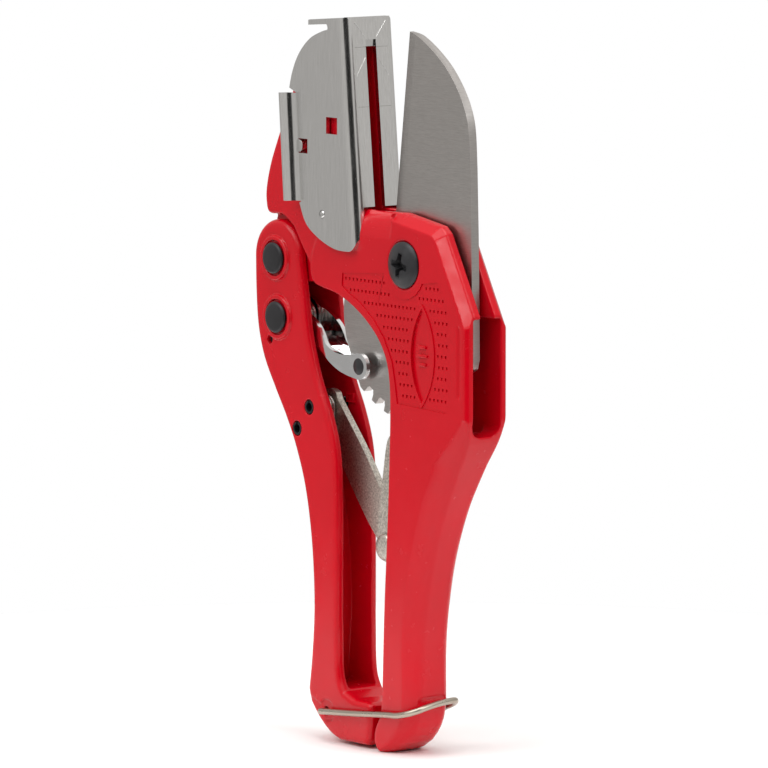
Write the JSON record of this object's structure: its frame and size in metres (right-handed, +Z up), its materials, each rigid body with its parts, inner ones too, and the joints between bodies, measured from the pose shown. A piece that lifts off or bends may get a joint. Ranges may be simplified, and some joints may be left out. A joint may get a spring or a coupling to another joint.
{
  "type": "pipe cutter",
  "caption": "Ratcheting pipe cutter with a knife blade, a folded anvil plate, a moving handle, a knee linkage and a wire latch.",
  "frame": {"origin": "centre of the bounding box in plan, at the lowest point of the handle feet", "axes": "+Z up along the closed handles, +X towards the blade's back, -Y the side of the screw head"},
  "size_m": [0.104, 0.027, 0.22],
  "materials": {
    "enamel_red": "glossy red enamel over a smooth casting",
    "bright_sheet": "bright rolled stainless sheet with fine vertical grain and soft dark reflections",
    "bright_pin": "bright steel",
    "blade_steel": "brushed stainless, fine horizontal grain",
    "black_oxide": "satin black oxide",
    "black_rivet": "satin charcoal",
    "black_roll_pin": "black oxide",
    "washer_steel": "plain steel",
    "pawl_chrome": "polished chrome plate",
    "spring_steel": "bright spring wire",
    "satin_nickel": "grainy satin nickel plate",
    "latch_wire": "nickel-plated wire"
  },
  "bodies": {
    "fixed_handle_body": {"fixed_casting": "enamel_red", "anvil_plate": "bright_sheet", "anvil_pin_front": "bright_pin", "anvil_pin_back": "bright_pin", "pivot_screw": "black_oxide", "pivot_sleeve_nut": "black_oxide", "blade_washer_front": "washer_steel", "blade_washer_back": "washer_steel", "link_pin": "washer_steel"},
    "moving_handle_body": {"moving_handle": "enamel_red", "handle_rivet": "black_rivet", "pawl_rivet": "black_rivet", "roll_pin_upper": "black_roll_pin", "roll_pin_lower": "black_roll_pin", "return_spring": "spring_steel"},
    "blade_body": {"blade": "blade_steel"},
    "pawl_body": {"pawl": "pawl_chrome", "pawl_spring": "spring_steel"},
    "link_arm_body": {"link_arm": "satin_nickel", "knee_rivet": "satin_nickel"},
    "link_plate_body": {"link_plate": "satin_nickel"},
    "latch_body": {"latch_bail": "latch_wire"}
  },
  "joints": [
    {"name": "moving_handle_hinge", "type": "hinge", "parent": "fixed_handle_body", "child": "moving_handle_body", "pos_m": [-0.0409, 0, 0.1452], "axis": [0, 1, 0], "range_deg": [0, 20]},
    {"name": "blade_hinge", "type": "hinge", "parent": "fixed_handle_body", "child": "blade_body", "pos_m": [0.0218, 0, 0.1478], "axis": [0, -1, 0], "range_deg": [-38, 20]},
    {"name": "pawl_hinge", "type": "hinge", "parent": "moving_handle_body", "child": "pawl_body", "pos_m": [-0.0397, 0, 0.1273], "axis": [0, 1, 0], "range_deg": [0, 4.5], "stiffness_Nm_per_rad": 0.03, "springref_deg": -20.05},
    {"name": "link_arm_hinge", "type": "hinge", "parent": "moving_handle_body", "child": "link_arm_body", "pos_m": [-0.0245, 0, 0.1011], "axis": [0, 1, 0], "range_deg": [-31.7, 0]},
    {"name": "link_plate_hinge", "type": "hinge", "parent": "fixed_handle_body", "child": "link_plate_body", "pos_m": [0.0158, 0, 0.0918], "axis": [0, 1, 0], "range_deg": [0, 16.5]},
    {"name": "latch_hinge", "type": "hinge", "parent": "moving_handle_body", "child": "latch_body", "pos_m": [-0.0167, 0, 0.0092], "axis": [0, 1, 0], "range_deg": [0, 150]}
  ],
  "couplings": [
    {"joint": "link_arm_hinge", "follows": "moving_handle_hinge", "ratio": -1.585},
    {"joint": "link_plate_hinge", "follows": "moving_handle_hinge", "ratio": 0.825},
    {"joint": "latch_hinge", "follows": "moving_handle_hinge", "ratio": 7.5}
  ]
}
